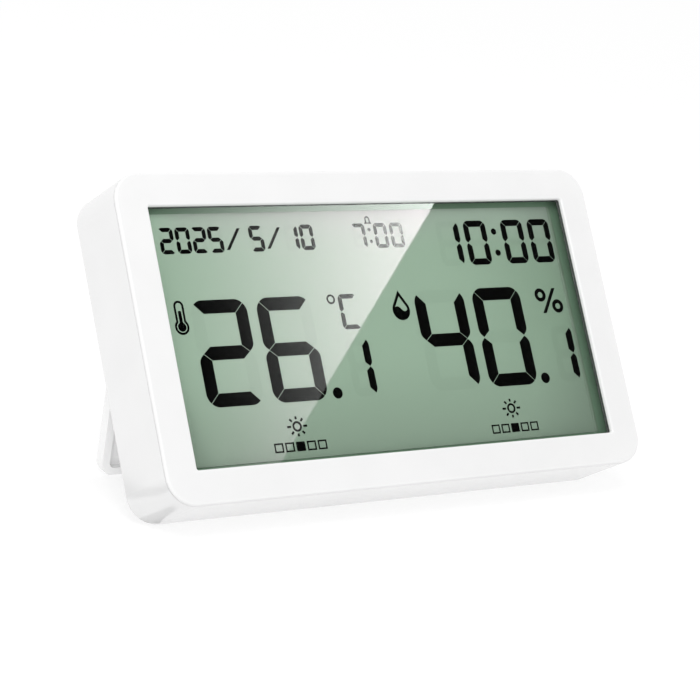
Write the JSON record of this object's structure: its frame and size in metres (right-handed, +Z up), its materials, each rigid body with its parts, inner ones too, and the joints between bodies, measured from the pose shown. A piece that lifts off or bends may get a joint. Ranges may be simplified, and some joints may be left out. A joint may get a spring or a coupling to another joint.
{
  "type": "thermometer hygrometer clock",
  "caption": "Slim white table clock with a wide segment display for time, date, temperature and humidity, leaning back on a fold-out stand.",
  "frame": {"origin": "on the table, midway across the width and midway between the foremost and rearmost points, with the stand open", "axes": "+X to the right as the display is read, +Y to the rear, +Z up; the face looks along -Y and leans back by 31 degrees"},
  "size_m": [0.11, 0.0454, 0.0608],
  "materials": {
    "white_plastic": "satin white moulded ABS",
    "clear_lens": "clear polished acrylic sheet",
    "black_foam": "black closed-cell foam",
    "polariser_film": "grey-green polarising film",
    "display_glass": "polished thin glass",
    "reflector_film": "silver-green reflector film",
    "connector_rubber": "layered silicone rubber",
    "frame_plastic": "natural moulded ABS",
    "green_board": "solder mask on glass laminate",
    "black_epoxy": "cured epoxy drop",
    "bright_can": "bright drawn can",
    "chip_body": "fired ceramic chips",
    "sensor_body": "moulded package",
    "switch_plastic": "black moulded nylon",
    "screw_steel": "zinc-plated steel",
    "brass_sheet": "rolled brass sheet",
    "pale_ceramic": "silvered ceramic layer",
    "cell_steel": "nickel-plated pressed steel",
    "contact_steel": "nickel-plated spring steel"
  },
  "bodies": {
    "case": {"front_bezel": "white_plastic", "rear_case": "white_plastic", "lens_tape": "black_foam", "dust_gasket": "black_foam", "display_lens": "clear_lens", "display_front_polariser": "polariser_film", "display_front_glass": "display_glass", "display_rear_glass": "display_glass", "display_reflector": "reflector_film", "display_connector": "connector_rubber", "display_frame": "frame_plastic", "circuit_board": "green_board", "controller_blob": "black_epoxy", "clock_crystal": "bright_can", "chip_capacitors": "chip_body", "chip_resistors": "chip_body", "humidity_sensor": "sensor_body", "switch_bodies": "switch_plastic", "board_screws": "screw_steel", "case_screws": "screw_steel", "buzzer_disc": "brass_sheet", "buzzer_ceramic": "pale_ceramic", "buzzer_contacts": "brass_sheet", "coin_cell": "cell_steel", "cell_contact_negative": "contact_steel", "cell_contact_positive": "contact_steel"},
    "stand": {"stand": "white_plastic"},
    "battery_door": {"battery_door": "white_plastic"},
    "mode_button": {"mode_button": "white_plastic", "mode_switch_plunger": "switch_plastic"},
    "up_button": {"up_button": "white_plastic", "up_switch_plunger": "switch_plastic"},
    "down_button": {"down_button": "white_plastic", "down_switch_plunger": "switch_plastic"},
    "unit_button": {"unit_button": "white_plastic", "unit_switch_plunger": "switch_plastic"}
  },
  "joints": [
    {"name": "stand_hinge", "type": "hinge", "parent": "case", "child": "stand", "pos_m": [0, 0.01606, 0.04389], "axis": [1, 0, 0], "range_deg": [-35.5, 0]},
    {"name": "battery_door_turn", "type": "hinge", "parent": "case", "child": "battery_door", "pos_m": [-0.0209, 0.00344, 0.02646], "axis": [0, -0.8538, 0.5206], "range_deg": [0, 48]},
    {"name": "mode_press", "type": "slide", "parent": "case", "child": "mode_button", "axis": [0, -0.8538, 0.5206], "range_m": [0, 0.0003], "stiffness_N_per_m": 3000},
    {"name": "up_press", "type": "slide", "parent": "case", "child": "up_button", "axis": [0, -0.8538, 0.5206], "range_m": [0, 0.0003], "stiffness_N_per_m": 3000},
    {"name": "down_press", "type": "slide", "parent": "case", "child": "down_button", "axis": [0, -0.8538, 0.5206], "range_m": [0, 0.0003], "stiffness_N_per_m": 3000},
    {"name": "unit_press", "type": "slide", "parent": "case", "child": "unit_button", "axis": [0, -0.8538, 0.5206], "range_m": [0, 0.0003], "stiffness_N_per_m": 3000}
  ]
}
